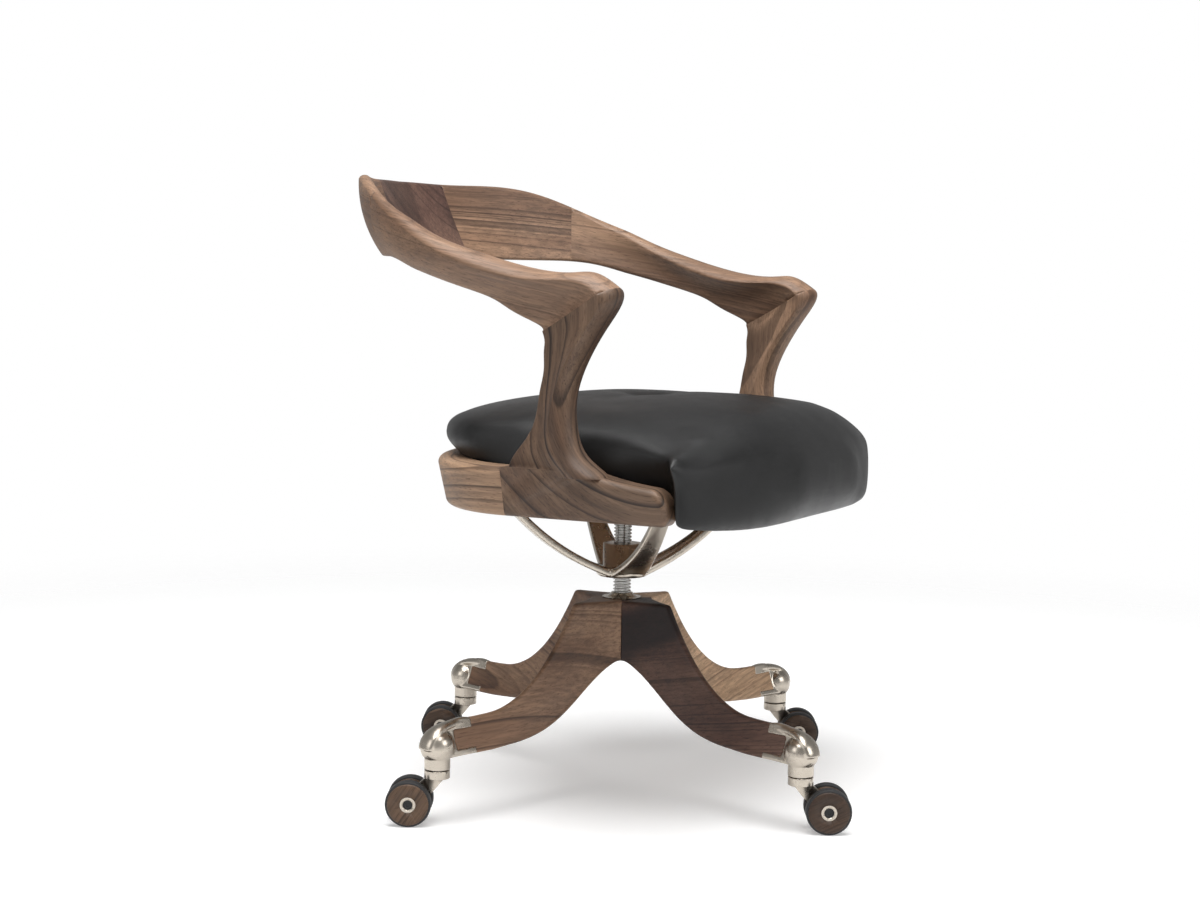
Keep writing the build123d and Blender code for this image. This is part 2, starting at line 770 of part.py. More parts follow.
# Dowels across the glued joints of the frame
mitre_face = post_faces[0]
mitre_normal = mitre_face.normal_at()
rail_middle = rail_half_span - rail_thickness / 2 - rail_flare / 2
dowel_seats = []
for hand in (1, -1):
    mitre_spot = mitre_face.center()
    dowel_seats.append(
        (Vector(hand * mitre_spot.X, mitre_spot.Y, mitre_spot.Z), Vector(0, mitre_normal.Y, mitre_normal.Z))
    )
    for height in dowel_heights:
        dowel_seats.append((Vector(hand * rail_middle, seam_y, height), Vector(0, 1, 0)))
for height in dowel_heights:
    dowel_seats.append((Vector(0, rail_rear - rail_thickness / 2 - rail_flare / 2, height), Vector(1, 0, 0)))


def dowels(diameter, length):
    with BuildPart() as pins:
        for spot, heading in dowel_seats:
            with BuildSketch(Plane(spot, z_dir=heading)):
                Circle(diameter / 2)
            extrude(amount=length / 2, both=True)
    return pins.part


dowel_holes = dowels(dowel_diameter + 2 * glue_gap, dowel_length + 2 * glue_gap)
save(dowels(dowel_diameter, dowel_length), "frame_dowels")


def drilled(part):
    with BuildPart() as piece:
        add(part)
        add(dowel_holes, mode=Mode.SUBTRACT)
    return piece.part


with BuildPart() as rail_left:
    add(rail_rim.part)
    split(bisect_by=Plane.YZ, keep=Keep.TOP)
pieces = {
    "arm": arm_left.part,
    "shoulder": shoulder_left.part,
    "post": post_left.part,
    "seat_rail": rail_left.part,
}
for name, part in pieces.items():
    finished = drilled(part)
    save(finished, f"{name}_left")
    save(mirror(finished, about=Plane.YZ), f"{name}_right")
save(back_centre.part, "back_centre")

# Cushion: crowned leather pad with a wide front roll ahead of the rails and a sewn dip in the middle
seat_top = board_bottom + board_thickness + flat_gap
half_rear = rail_inner - cushion_side_gap
rear_depth = rail_depth - rail_thickness - cushion_gap
pad_front = foot_front - pad_overlap


def cushion_section(y, half, low, high):
    edge = high - cushion_swell * (half / cushion_half) ** 2
    with BuildSketch(Plane((0, y, 0), x_dir=(1, 0, 0), z_dir=(0, -1, 0))) as section:
        with BuildLine():
            Line((-half, low), (half, low))
            Line((half, low), (half, edge))
            ThreePointArc((half, edge), (0, high), (-half, edge))
            Line((-half, edge), (-half, low))
        make_face()
        room = corner_share * min(edge - low, half)
        fillet(section.vertices().group_by(Axis.Y)[-1], min(cushion_round, room))
        fillet(section.vertices().group_by(Axis.Y)[0], min(cushion_sole_round, room))
    return section.sketch


roll_faces = []
for depth, share, lift, fall in front_roll:
    y = cushion_front + depth
    roll_faces.append(cushion_section(y, share * cushion_half, seat_sole + lift, cushion_crown - fall))


def pad_sections(width, depth, low):
    faces = []
    for share in pad_shares:
        y = seam_y + share * depth
        half = width * (1 - share**2) ** 0.5
        faces.append(cushion_section(y, half, low, cushion_crown - roll_rise - rear_sag * share**sag_power))
    return faces


with BuildPart() as cushion:
    loft(roll_faces)
    extrude(cushion_section(pad_front, half_rear, seat_top, cushion_crown - roll_rise), pad_front - seam_y)
    loft(pad_sections(half_rear, rear_depth, seat_top))
    loft(pad_sections(half_rear - lap_inset, rear_depth + rear_lap, rail_top + cushion_gap))
    with BuildSketch(Plane.XY.offset(seat_sole)):
        with Locations((0, board_front - flat_gap)):
            Rectangle(2 * rail_inner, 3 * rail_rear, align=(Align.CENTER, Align.MIN))
    extrude(amount=seat_top - seat_sole, mode=Mode.SUBTRACT)
    with Locations((0, tuft_y, cushion_crown + tuft_radius - tuft_depth)):
        Sphere(tuft_radius, mode=Mode.SUBTRACT)
save(cushion.part, "seat_cushion")
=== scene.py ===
import json
from math import cos, exp, pi, radians, sin

import bmesh
import bpy
from mathutils import Euler, Matrix, Vector
from mathutils.bvhtree import BVHTree


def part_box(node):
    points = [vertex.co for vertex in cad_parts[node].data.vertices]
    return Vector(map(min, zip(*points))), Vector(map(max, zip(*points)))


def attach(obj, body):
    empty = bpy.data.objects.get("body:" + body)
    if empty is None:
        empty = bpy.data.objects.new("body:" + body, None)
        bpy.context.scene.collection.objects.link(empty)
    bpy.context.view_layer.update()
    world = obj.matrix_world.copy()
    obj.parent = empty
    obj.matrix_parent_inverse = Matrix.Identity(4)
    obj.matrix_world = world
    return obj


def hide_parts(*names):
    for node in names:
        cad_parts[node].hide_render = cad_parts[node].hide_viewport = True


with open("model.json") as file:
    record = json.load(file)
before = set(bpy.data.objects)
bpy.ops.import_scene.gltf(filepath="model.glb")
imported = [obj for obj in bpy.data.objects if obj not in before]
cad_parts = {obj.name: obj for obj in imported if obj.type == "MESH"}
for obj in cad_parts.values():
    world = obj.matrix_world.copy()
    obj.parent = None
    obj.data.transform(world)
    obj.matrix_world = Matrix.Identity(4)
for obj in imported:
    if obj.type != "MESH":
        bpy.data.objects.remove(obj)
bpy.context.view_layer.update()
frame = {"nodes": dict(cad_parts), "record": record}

scene = bpy.context.scene
scene.view_settings.view_transform = "Standard"
cadNodes = frame["nodes"]
print("frame loaded:", len(cadNodes), "nodes")


# Camera at the photograph's angle
photoCamera = {
    "azimuth": -63.5,  # degrees round the chair from its front
    "distance": 2.408,
    "height": 0.597,
    "yaw": 0.68,
    "pitch": 4.77,
    "roll": 0.94,
    "lens": 61.89,
    "sensor": 36,
}


def addCamera():
    turn = radians(photoCamera["azimuth"])
    place = Vector((sin(turn), -cos(turn), 0)) * photoCamera["distance"]
    place.z = photoCamera["height"]
    ahead = Vector((-sin(turn), cos(turn), 0))
    ahead.rotate(Euler((0, 0, radians(photoCamera["yaw"]))))
    right = ahead.cross(Vector((0, 0, 1))).normalized()
    pitch = radians(photoCamera["pitch"])
    look = ahead * cos(pitch) - Vector((0, 0, 1)) * sin(pitch)
    up = right.cross(look)
    roll = radians(photoCamera["roll"])
    rollRight = right * cos(roll) + up * sin(roll)
    rollUp = up * cos(roll) - right * sin(roll)
    bpy.ops.object.camera_add(location=place)
    camera = bpy.context.object
    camera.name = "photoCamera"
    camera.matrix_world = Matrix.Translation(place) @ Matrix(
        (
            (rollRight.x, rollUp.x, -look.x),
            (rollRight.y, rollUp.y, -look.y),
            (rollRight.z, rollUp.z, -look.z),
        )
    ).to_4x4()
    camera.data.sensor_width = photoCamera["sensor"]
    camera.data.lens = photoCamera["lens"]
    scene.camera = camera


addCamera()
print("camera placed")


# Node helpers
def addNode(tree, kind, values=None, **settings):
    node = tree.nodes.new(kind)
    for name, value in settings.items():
        setattr(node, name, value)
    for name, value in (values or {}).items():
        node.inputs[name].default_value = value
    return node


# A plain value is set on the socket itself, anything else is linked to it
def setOrLink(tree, socket, value):
    if isinstance(value, (int, float, tuple)):
        socket.default_value = value
    else:
        tree.links.new(value, socket)


def mathNode(tree, operation, first, second=None, clamp=False):
    node = addNode(tree, "ShaderNodeMath", operation=operation, use_clamp=clamp)
    setOrLink(tree, node.inputs[0], first)
    if second is not None:
        setOrLink(tree, node.inputs[1], second)
    return node.outputs[0]


def scaled(tree, vector, scale):
    node = addNode(tree, "ShaderNodeVectorMath", operation="MULTIPLY")
    node.inputs[1].default_value = scale
    tree.links.new(vector, node.inputs[0])
    return node.outputs[0]


def noiseAt(tree, vector, scale, detail=2.0, roughness=0.5):
    node = addNode(tree, "ShaderNodeTexNoise", {"Scale": scale, "Detail": detail, "Roughness": roughness})
    tree.links.new(vector, node.inputs["Vector"])
    return node


def spread(tree, value, low, high, newLow=0.0, newHigh=1.0):
    node = addNode(tree, "ShaderNodeMapRange", interpolation_type="SMOOTHSTEP")
    for index, number in ((1, low), (2, high), (3, newLow), (4, newHigh)):
        node.inputs[index].default_value = number
    tree.links.new(value, node.inputs[0])
    return node.outputs[0]


def mixColor(tree, factor, first, second, blend="MIX"):
    node = addNode(tree, "ShaderNodeMix", data_type="RGBA", blend_type=blend)
    for index, value in ((0, factor), (6, first), (7, second)):
        setOrLink(tree, node.inputs[index], value)
    return node.outputs[2]


def mixValue(tree, factor, first, second):
    node = addNode(tree, "ShaderNodeMix", data_type="FLOAT")
    for index, value in ((0, factor), (2, first), (3, second)):
        setOrLink(tree, node.inputs[index], value)
    return node.outputs[0]


def spreadGrey(tree, value, low, high):
    node = addNode(tree, "ShaderNodeMapRange")
    node.inputs[3].default_value = low
    node.inputs[4].default_value = high
    tree.links.new(value, node.inputs[0])
    grey = addNode(tree, "ShaderNodeCombineColor")
    for index in range(3):
        tree.links.new(node.outputs[0], grey.inputs[index])
    return grey.outputs[0]


def newGroup(name, inputs, outputs):
    tree = bpy.data.node_groups.new(name, "ShaderNodeTree")
    for socketName, kind, value in inputs:
        socket = tree.interface.new_socket(socketName, in_out="INPUT", socket_type=kind)
        if value is not None:
            socket.default_value = value
    for socketName, kind in outputs:
        tree.interface.new_socket(socketName, in_out="OUTPUT", socket_type=kind)
    return tree, tree.nodes.new("NodeGroupInput"), tree.nodes.new("NodeGroupOutput")


floatKind, colorKind, vectorKind = "NodeSocketFloat", "NodeSocketColor", "NodeSocketVector"
finishOutputs = [("Color", colorKind), ("Roughness", floatKind), ("Height", floatKind)]


# Coordinates that run along a curved member: arc length, distance from the centre, height
def makeFollowCurve():
    tree, take, give = newGroup(
        "followCurve",
        [("Vector", vectorKind, None), ("Radius", floatKind, 0.29), ("Depth Ratio", floatKind, 1.0)],
        [("Vector", vectorKind)],
    )
    part = addNode(tree, "ShaderNodeSeparateXYZ")
    tree.links.new(take.outputs["Vector"], part.inputs[0])
    across = mathNode(tree, "ABSOLUTE", part.outputs[0])
    behind = mathNode(tree, "MAXIMUM", part.outputs[1], 0.0)
    behind = mathNode(tree, "MULTIPLY", behind, take.outputs["Depth Ratio"])
    ahead = mathNode(tree, "MAXIMUM", mathNode(tree, "MULTIPLY", part.outputs[1], -1.0), 0.0)
    acrossSquare = mathNode(tree, "MULTIPLY", across, across)
    behindSquare = mathNode(tree, "MULTIPLY", behind, behind)
    reach = mathNode(tree, "SQRT", mathNode(tree, "ADD", acrossSquare, behindSquare))
    turned = mathNode(tree, "MULTIPLY", mathNode(tree, "ARCTAN2", across, behind), take.outputs["Radius"])
    arc = mathNode(tree, "ADD", turned, ahead)
    joined = addNode(tree, "ShaderNodeCombineXYZ")
    for index, value in enumerate((arc, reach, part.outputs[2])):
        tree.links.new(value, joined.inputs[index])
    tree.links.new(joined.outputs[0], give.inputs["Vector"])
    return tree


# Solid walnut: growth rings round X, fibre streaks and open pores along X
walnutSpec = {
    "stretch": (0.16, 1.0, 1.0),  # rings change slowly along the plank
    "swirl": (6.0, 1.5, 0.4),  # scale, detail, roughness
    "growth": {"Scale": 0.45, "Detail": 1.0},
    "growthSpread": 2.6,
    "ringRise": (0.12, 0.88),
    "ringFall": (0.84, 1.0),
    "yearPower": 1.5,
    "broadScale": (1.6, 17.0, 17.0),
    "broadBand": (0.36, 0.64),
    "heartScale": (2.0, 14.0, 14.0),
    "heartBand": (0.50, 0.62),
    "fibreScale": (9.0, 330.0, 330.0),
    "fibreBand": (0.25, 0.75),
    "fibreGrey": (0.60, 1.32),
    "fibreMix": 0.75,
    "poreScale": (55.0, 1150.0, 1150.0),
    "poreBand": (0.60, 0.72),
    "poreMix": 0.55,
    "rough": 0.42,
    "fibreRough": 0.10,
    "poreRough": 0.15,
    "fibreHeight": 0.35,
    "bump": (0.25, 0.0004),  # strength, depth
    "specular": 0.35,
}


def makeWalnutGrain():
    tree, take, give = newGroup(
        "walnutGrain",
        [
            ("Vector", vectorKind, None),
            ("Ring Width", floatKind, 0.008),
            ("Waver", floatKind, 0.03),
            ("Light", colorKind, (0.30, 0.18, 0.10, 1)),
            ("Middle", colorKind, (0.17, 0.09, 0.05, 1)),
            ("Dark", colorKind, (0.05, 0.024, 0.015, 1)),
            ("Figure", floatKind, 0.8),
            ("Heart", floatKind, 0.25),
        ],
        finishOutputs,
    )
    vector = take.outputs["Vector"]
    stretched = scaled(tree, vector, walnutSpec["stretch"])
    swirl = noiseAt(tree, stretched, *walnutSpec["swirl"])
    centred = addNode(tree, "ShaderNodeVectorMath", operation="SUBTRACT")
    centred.inputs[1].default_value = (0.5, 0.5, 0.5)
    tree.links.new(swirl.outputs["Color"], centred.inputs[0])
    amount = addNode(tree, "ShaderNodeVectorMath", operation="SCALE")
    tree.links.new(centred.outputs[0], amount.inputs[0])
    tree.links.new(take.outputs["Waver"], amount.inputs["Scale"])
    warped = addNode(tree, "ShaderNodeVectorMath", operation="ADD")
    tree.links.new(stretched, warped.inputs[0])
    tree.links.new(amount.outputs[0], warped.inputs[1])
    flat = scaled(tree, warped.outputs[0], (0.0, 1.0, 1.0))
    reach = addNode(tree, "ShaderNodeVectorMath", operation="LENGTH")
    tree.links.new(flat, reach.inputs[0])
    evenCount = mathNode(tree, "DIVIDE", reach.outputs["Value"], take.outputs["Ring Width"])
    growth = addNode(tree, "ShaderNodeTexNoise", walnutSpec["growth"], noise_dimensions="1D")
    tree.links.new(evenCount, growth.inputs["W"])
    uneven = mathNode(tree, "MULTIPLY", growth.outputs["Fac"], walnutSpec["growthSpread"])
    ringCount = mathNode(tree, "ADD", evenCount, uneven)
    ringPlace = mathNode(tree, "FRACT", ringCount)
    ringRise = spread(tree, ringPlace, *walnutSpec["ringRise"])
    ringFall = spread(tree, ringPlace, *walnutSpec["ringFall"], 1.0, 0.0)
    ring = mathNode(tree, "MULTIPLY", ringRise, ringFall)
    # some years are darker than others
    year = addNode(tree, "ShaderNodeTexWhiteNoise", noise_dimensions="1D")
    tree.links.new(mathNode(tree, "FLOOR", ringCount), year.inputs["W"])
    yearTone = mathNode(tree, "POWER", year.outputs["Value"], walnutSpec["yearPower"])
    broad = noiseAt(tree, scaled(tree, vector, walnutSpec["broadScale"]), 1.0, 2.0)
    broadTone = spread(tree, broad.outputs["Fac"], *walnutSpec["broadBand"])
    # heartwood runs through the plank as a wide dark stripe
    heart = noiseAt(tree, scaled(tree, warped.outputs[0], walnutSpec["heartScale"]), 1.0, 1.0)
    heartBand = spread(tree, heart.outputs["Fac"], *walnutSpec["heartBand"])
    heartTone = mathNode(tree, "MULTIPLY", heartBand, take.outputs["Heart"])
    fibre = noiseAt(tree, scaled(tree, vector, walnutSpec["fibreScale"]), 1.0, 3.0, 0.6)
    fibreTone = spread(tree, fibre.outputs["Fac"], *walnutSpec["fibreBand"])
    pore = noiseAt(tree, scaled(tree, vector, walnutSpec["poreScale"]), 1.0, 1.0)
    poreTone = spread(tree, pore.outputs["Fac"], *walnutSpec["poreBand"])
    figure = mathNode(tree, "MULTIPLY", mathNode(tree, "MULTIPLY", ring, yearTone), take.outputs["Figure"])
    ground = mixColor(tree, broadTone, take.outputs["Light"], take.outputs["Middle"])
    hearted = mixColor(tree, heartTone, ground, take.outputs["Dark"])
    figured = mixColor(tree, figure, hearted, take.outputs["Dark"])
    fibreGrey = spreadGrey(tree, fibreTone, *walnutSpec["fibreGrey"])
    fibred = mixColor(tree, walnutSpec["fibreMix"], figured, fibreGrey, "MULTIPLY")
    poreMix = mathNode(tree, "MULTIPLY", poreTone, walnutSpec["poreMix"])
    pored = mixColor(tree, poreMix, fibred, take.outputs["Dark"])
    tree.links.new(pored, give.inputs["Color"])
    fibreRough = mathNode(tree, "MULTIPLY", fibreTone, walnutSpec["fibreRough"])
    poreRough = mathNode(tree, "MULTIPLY", poreTone, walnutSpec["poreRough"])
    rough = mathNode(tree, "ADD", mathNode(tree, "ADD", fibreRough, walnutSpec["rough"]), poreRough)
    tree.links.new(rough, give.inputs["Roughness"])
    fibreHeight = mathNode(tree, "MULTIPLY", fibreTone, walnutSpec["fibreHeight"])
    height = mathNode(tree, "SUBTRACT", fibreHeight, poreTone)
    tree.links.new(height, give.inputs["Height"])
    return tree


# Fine satin brushing and faint handling marks on metal
metalSpec = {
    "grit": (1400.0, 2.0, 0.6),  # scale, detail, roughness
    "cloud": (38.0, 4.0, 0.55),
    "cloudBand": (0.3, 0.7),
    "cloudGrey": (0.92, 1.04),
    "cloudRough": 0.07,
    "bump": (0.02, 0.0001),  # strength, depth
}


def makeSatinMetal():
    tree, take, give = newGroup(
        "satinMetal",
        [
            ("Vector", vectorKind, None),
            ("Color", colorKind, (0.7, 0.65, 0.55, 1)),
            ("Roughness", floatKind, 0.3),
        ],
        finishOutputs,
    )
    vector = take.outputs["Vector"]
    grit = noiseAt(tree, vector, *metalSpec["grit"])
    cloud = noiseAt(tree, vector, *metalSpec["cloud"])
    cloudTone = spread(tree, cloud.outputs["Fac"], *metalSpec["cloudBand"])
    cloudGrey = spreadGrey(tree, cloudTone, *metalSpec["cloudGrey"])
    tree.links.new(mixColor(tree, 1.0, take.outputs["Color"], cloudGrey, "MULTIPLY"), give.inputs["Color"])
    cloudRough = mathNode(tree, "MULTIPLY", cloudTone, metalSpec["cloudRough"])
    rough = mathNode(tree, "ADD", take.outputs["Roughness"], cloudRough)
    tree.links.new(rough, give.inputs["Roughness"])
    tree.links.new(grit.outputs["Fac"], give.inputs["Height"])
    return tree


# Leather: pebbled cells, soft creases and slightly polished high spots
hideSpec = {
    "pebble": {"Scale": 900.0, "Randomness": 0.9},
    "pebbleBand": (0.0, 0.25),
    "cloud": (16.0, 5.0, 0.6),  # scale, detail, roughness
    "cloudBand": (0.3, 0.7),
    "cloudGrey": (0.75, 1.25),
    "cloudRough": 0.10,
    "markScale": (30.0, 120.0, 90.0),
    "markHeight": 0.8,
    "leather": {"Color": (0.004, 0.004, 0.0042, 1), "Roughness": 0.36},
    "leatherBump": (0.22, 0.0004),  # strength, depth
    "leatherSpecular": 0.42,
    "rubber": {"Color": (0.014, 0.014, 0.015, 1), "Roughness": 0.55},
    "rubberBump": (0.1, 0.0002),
}


def makeLeatherGrain():
    tree, take, give = newGroup(
        "leatherGrain",
        [
            ("Vector", vectorKind, None),
            ("Color", colorKind, (0.012, 0.012, 0.013, 1)),
            ("Roughness", floatKind, 0.42),
        ],
        finishOutputs,
    )
    vector = take.outputs["Vector"]
    cells = addNode(tree, "ShaderNodeTexVoronoi", hideSpec["pebble"], feature="DISTANCE_TO_EDGE")
    tree.links.new(vector, cells.inputs["Vector"])
    pebble = spread(tree, cells.outputs["Distance"], *hideSpec["pebbleBand"])
    cloud = noiseAt(tree, vector, *hideSpec["cloud"])
    cloudTone = spread(tree, cloud.outputs["Fac"], *hideSpec["cloudBand"])
    stretchMark = noiseAt(tree, scaled(tree, vector, hideSpec["markScale"]), 1.0, 3.0)
    cloudGrey = spreadGrey(tree, cloudTone, *hideSpec["cloudGrey"])
    tree.links.new(mixColor(tree, 1.0, take.outputs["Color"], cloudGrey, "MULTIPLY"), give.inputs["Color"])
    cloudRough = mathNode(tree, "MULTIPLY", cloudTone, hideSpec["cloudRough"])
    rough = mathNode(tree, "ADD", take.outputs["Roughness"], cloudRough)
    tree.links.new(rough, give.inputs["Roughness"])
    markHeight = mathNode(tree, "MULTIPLY", stretchMark.outputs["Fac"], hideSpec["markHeight"])
    height = mathNode(tree, "ADD", pebble, markHeight)
    tree.links.new(height, give.inputs["Height"])
    return tree


followCurve = makeFollowCurve()
walnutGrain = makeWalnutGrain()
satinMetal = makeSatinMetal()
leatherGrain = makeLeatherGrain()


# Each finish is a Principled shader fed by its group
def newMaterial(name):
    material = bpy.data.materials.new(name)
    material.use_nodes = True
    tree = material.node_tree
    tree.nodes.clear()
    out = addNode(tree, "ShaderNodeOutputMaterial")
    shader = addNode(tree, "ShaderNodeBsdfPrincipled")
    tree.links.new(shader.outputs[0], out.inputs[0])
    coords = addNode(tree, "ShaderNodeTexCoord")
    return material, tree, shader, coords.outputs["Object"]


def useGroup(tree, group, vector, values):
    node = addNode(tree, "ShaderNodeGroup", node_tree=group)
    for name, value in values.items():
        node.inputs[name].default_value = value
    tree.links.new(vector, node.inputs["Vector"])
    return node


def feedShader(tree, shader, grain, bumpStrength, bumpDepth):
    tree.links.new(grain.outputs["Color"], shader.inputs["Base Color"])
    tree.links.new(grain.outputs["Roughness"], shader.inputs["Roughness"])
    bump = addNode(tree, "ShaderNodeBump", {"Strength": bumpStrength, "Distance": bumpDepth})
    tree.links.new(grain.outputs["Height"], bump.inputs["Height"])
    tree.links.new(bump.outputs[0], shader.inputs["Normal"])


walnutTones = {
    "light": ((0.72, 0.50, 0.325, 1), (0.52, 0.34, 0.21, 1), (0.14, 0.075, 0.046, 1)),
    "pale": ((0.40, 0.255, 0.16, 1), (0.25, 0.15, 0.09, 1), (0.055, 0.028, 0.018, 1)),
    "mid": ((0.29, 0.178, 0.112, 1), (0.175, 0.098, 0.059, 1), (0.032, 0.016, 0.011, 1)),
    "striped": ((0.20, 0.125, 0.080, 1), (0.085, 0.047, 0.029, 1), (0.010, 0.005, 0.004, 1)),
    "nut": ((0.105, 0.062, 0.038, 1), (0.056, 0.032, 0.020, 1), (0.011, 0.006, 0.004, 1)),
    "deep": ((0.14, 0.08, 0.058, 1), (0.078, 0.04, 0.03, 1), (0.010, 0.005, 0.005, 1)),
}


def makeWalnut(name, look):
    material, tree, shader, vector = newMaterial(name)
    place = addNode(tree, "ShaderNodeMapping", vector_type="TEXTURE")
    place.inputs["Location"].default_value = look.get("centre", (0, 0, 0))
    place.inputs["Rotation"].default_value = [radians(a) for a in look.get("turn", (0, 0, 0))]
    tree.links.new(vector, place.inputs["Vector"])
    vector = place.outputs[0]
    if "swap" in look:
        part = addNode(tree, "ShaderNodeSeparateXYZ")
        tree.links.new(vector, part.inputs[0])
        joined = addNode(tree, "ShaderNodeCombineXYZ")
        tree.links.new(part.outputs[1], joined.inputs[0])
        tree.links.new(mathNode(tree, "MULTIPLY", part.outputs[2], -1.0), joined.inputs[1])
        tree.links.new(part.outputs[0], joined.inputs[2])
        vector = joined.outputs[0]
    if "radius" in look:
        bend = {"Radius": look["radius"], "Depth Ratio": look.get("ratio", 1.0)}
        along = useGroup(tree, followCurve, vector, bend)
        vector = along.outputs["Vector"]
    shift = addNode(tree, "ShaderNodeMapping")
    shift.inputs["Location"].default_value = look["pith"]
    shift.inputs["Rotation"].default_value = [radians(a) for a in look.get("slant", (0, 0, 0))]
    tree.links.new(vector, shift.inputs["Vector"])
    light, middle, dark = walnutTones[look["tone"]]
    grain = useGroup(
        tree,
        walnutGrain,
        shift.outputs[0],
        {
            "Ring Width": look.get("ring", 0.005),
            "Waver": look.get("waver", 0.03),
            "Figure": look.get("figure", 0.8),
            "Heart": look.get("heart", 0.25),
            "Light": light,
            "Middle": middle,
            "Dark": dark,
        },
    )
    feedShader(tree, shader, grain, *walnutSpec["bump"])
    shader.inputs["Specular IOR Level"].default_value = walnutSpec["specular"]
    return material


def makeMetal(name, color, roughness):
    material, tree, shader, vector = newMaterial(name)
    grain = useGroup(tree, satinMetal, vector, {"Color": color, "Roughness": roughness})
    feedShader(tree, shader, grain, *metalSpec["bump"])
    shader.inputs["Metallic"].default_value = 1.0
    return material


def makeLeather(name):
    material, tree, shader, vector = newMaterial(name)
    grain = useGroup(tree, leatherGrain, vector, hideSpec["leather"])
    feedShader(tree, shader, grain, *hideSpec["leatherBump"])
    shader.inputs["Specular IOR Level"].default_value = hideSpec["leatherSpecular"]
    return material


def makeRubber(name):
    material, tree, shader, vector = newMaterial(name)
    grain = useGroup(tree, leatherGrain, vector, hideSpec["rubber"])
    feedShader(tree, shader, grain, *hideSpec["rubberBump"])
    return material


satinNickel = makeMetal("satinNickel", (0.50, 0.45, 0.385, 1), 0.24)
brightSteel = makeMetal("brightSteel", (0.52, 0.51, 0.49, 1), 0.20)
blackLeather = makeLeather("blackLeather")
tyreRubber = makeRubber("tyreRubber")
print("finishes made")


# Small helpers for the pieces
copySpec = {"merge": 0.00002, "smoothAngle": 32.0}


def deselectAll():
    bpy.ops.object.select_all(action="DESELECT")


def pick(obj):
    deselectAll()
    obj.select_set(True)
    bpy.context.view_layer.objects.active = obj


def bodyOf(nodeName):
    for body, members in frame["record"]["behaviour"]["bodies"].items():
        if nodeName in members:
            return body
    return None


def jointOf(name):
    for joint in frame["record"]["behaviour"]["joints"]:
        if joint["name"] == name:
            return joint
    return None


def ramp(value, low, high):
    share = min(max((value - low) / (high - low), 0.0), 1.0)
    return share * share * (3 - 2 * share)


def paint(obj, material):
    obj.data.materials.clear()
    obj.data.materials.append(material)


def applyModifier(piece, name, kind, **settings):
    modifier = piece.modifiers.new(name, kind)
    for key, value in settings.items():
        setattr(modifier, key, value)
    pick(piece)
    bpy.ops.object.modifier_apply(modifier=name)


def mergedCopy(nodeName, pieceName):
    piece = bpy.data.objects.new(pieceName, cadNodes[nodeName].data.copy())
    scene.collection.objects.link(piece)
    pick(piece)
    bpy.ops.object.mode_set(mode="EDIT")
    bpy.ops.mesh.select_all(action="SELECT")
    bpy.ops.mesh.remove_doubles(threshold=copySpec["merge"])
    bpy.ops.object.mode_set(mode="OBJECT")
    return piece


# A CAD node's surface, merged and shaded smooth between its real edges
def smoothCopy(nodeName, material):
    piece = mergedCopy(nodeName, nodeName + "_finish")
    bpy.ops.object.shade_smooth_by_angle(angle=radians(copySpec["smoothAngle"]))
    paint(piece, material)
    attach(piece, bodyOf(nodeName))
    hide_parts(nodeName)
    return piece


# Remeshed finely, then smoothed as strongly as weightOf says at each point
def smoothWhere(piece, spec, weightOf):
    applyModifier(piece, "remesh", "REMESH", mode="VOXEL", voxel_size=spec["voxel"])
    free = piece.vertex_groups.new(name="free")
    for vertex in piece.data.vertices:
        weight = weightOf(vertex.co)
        if weight > 0:
            free.add([vertex.index], weight, "REPLACE")
    settings = {"iterations": spec["rounds"], "factor": spec["factor"], "vertex_group": "free"}
    applyModifier(piece, "round", "SMOOTH", **settings)
    piece.vertex_groups.clear()
    bpy.ops.object.shade_smooth()


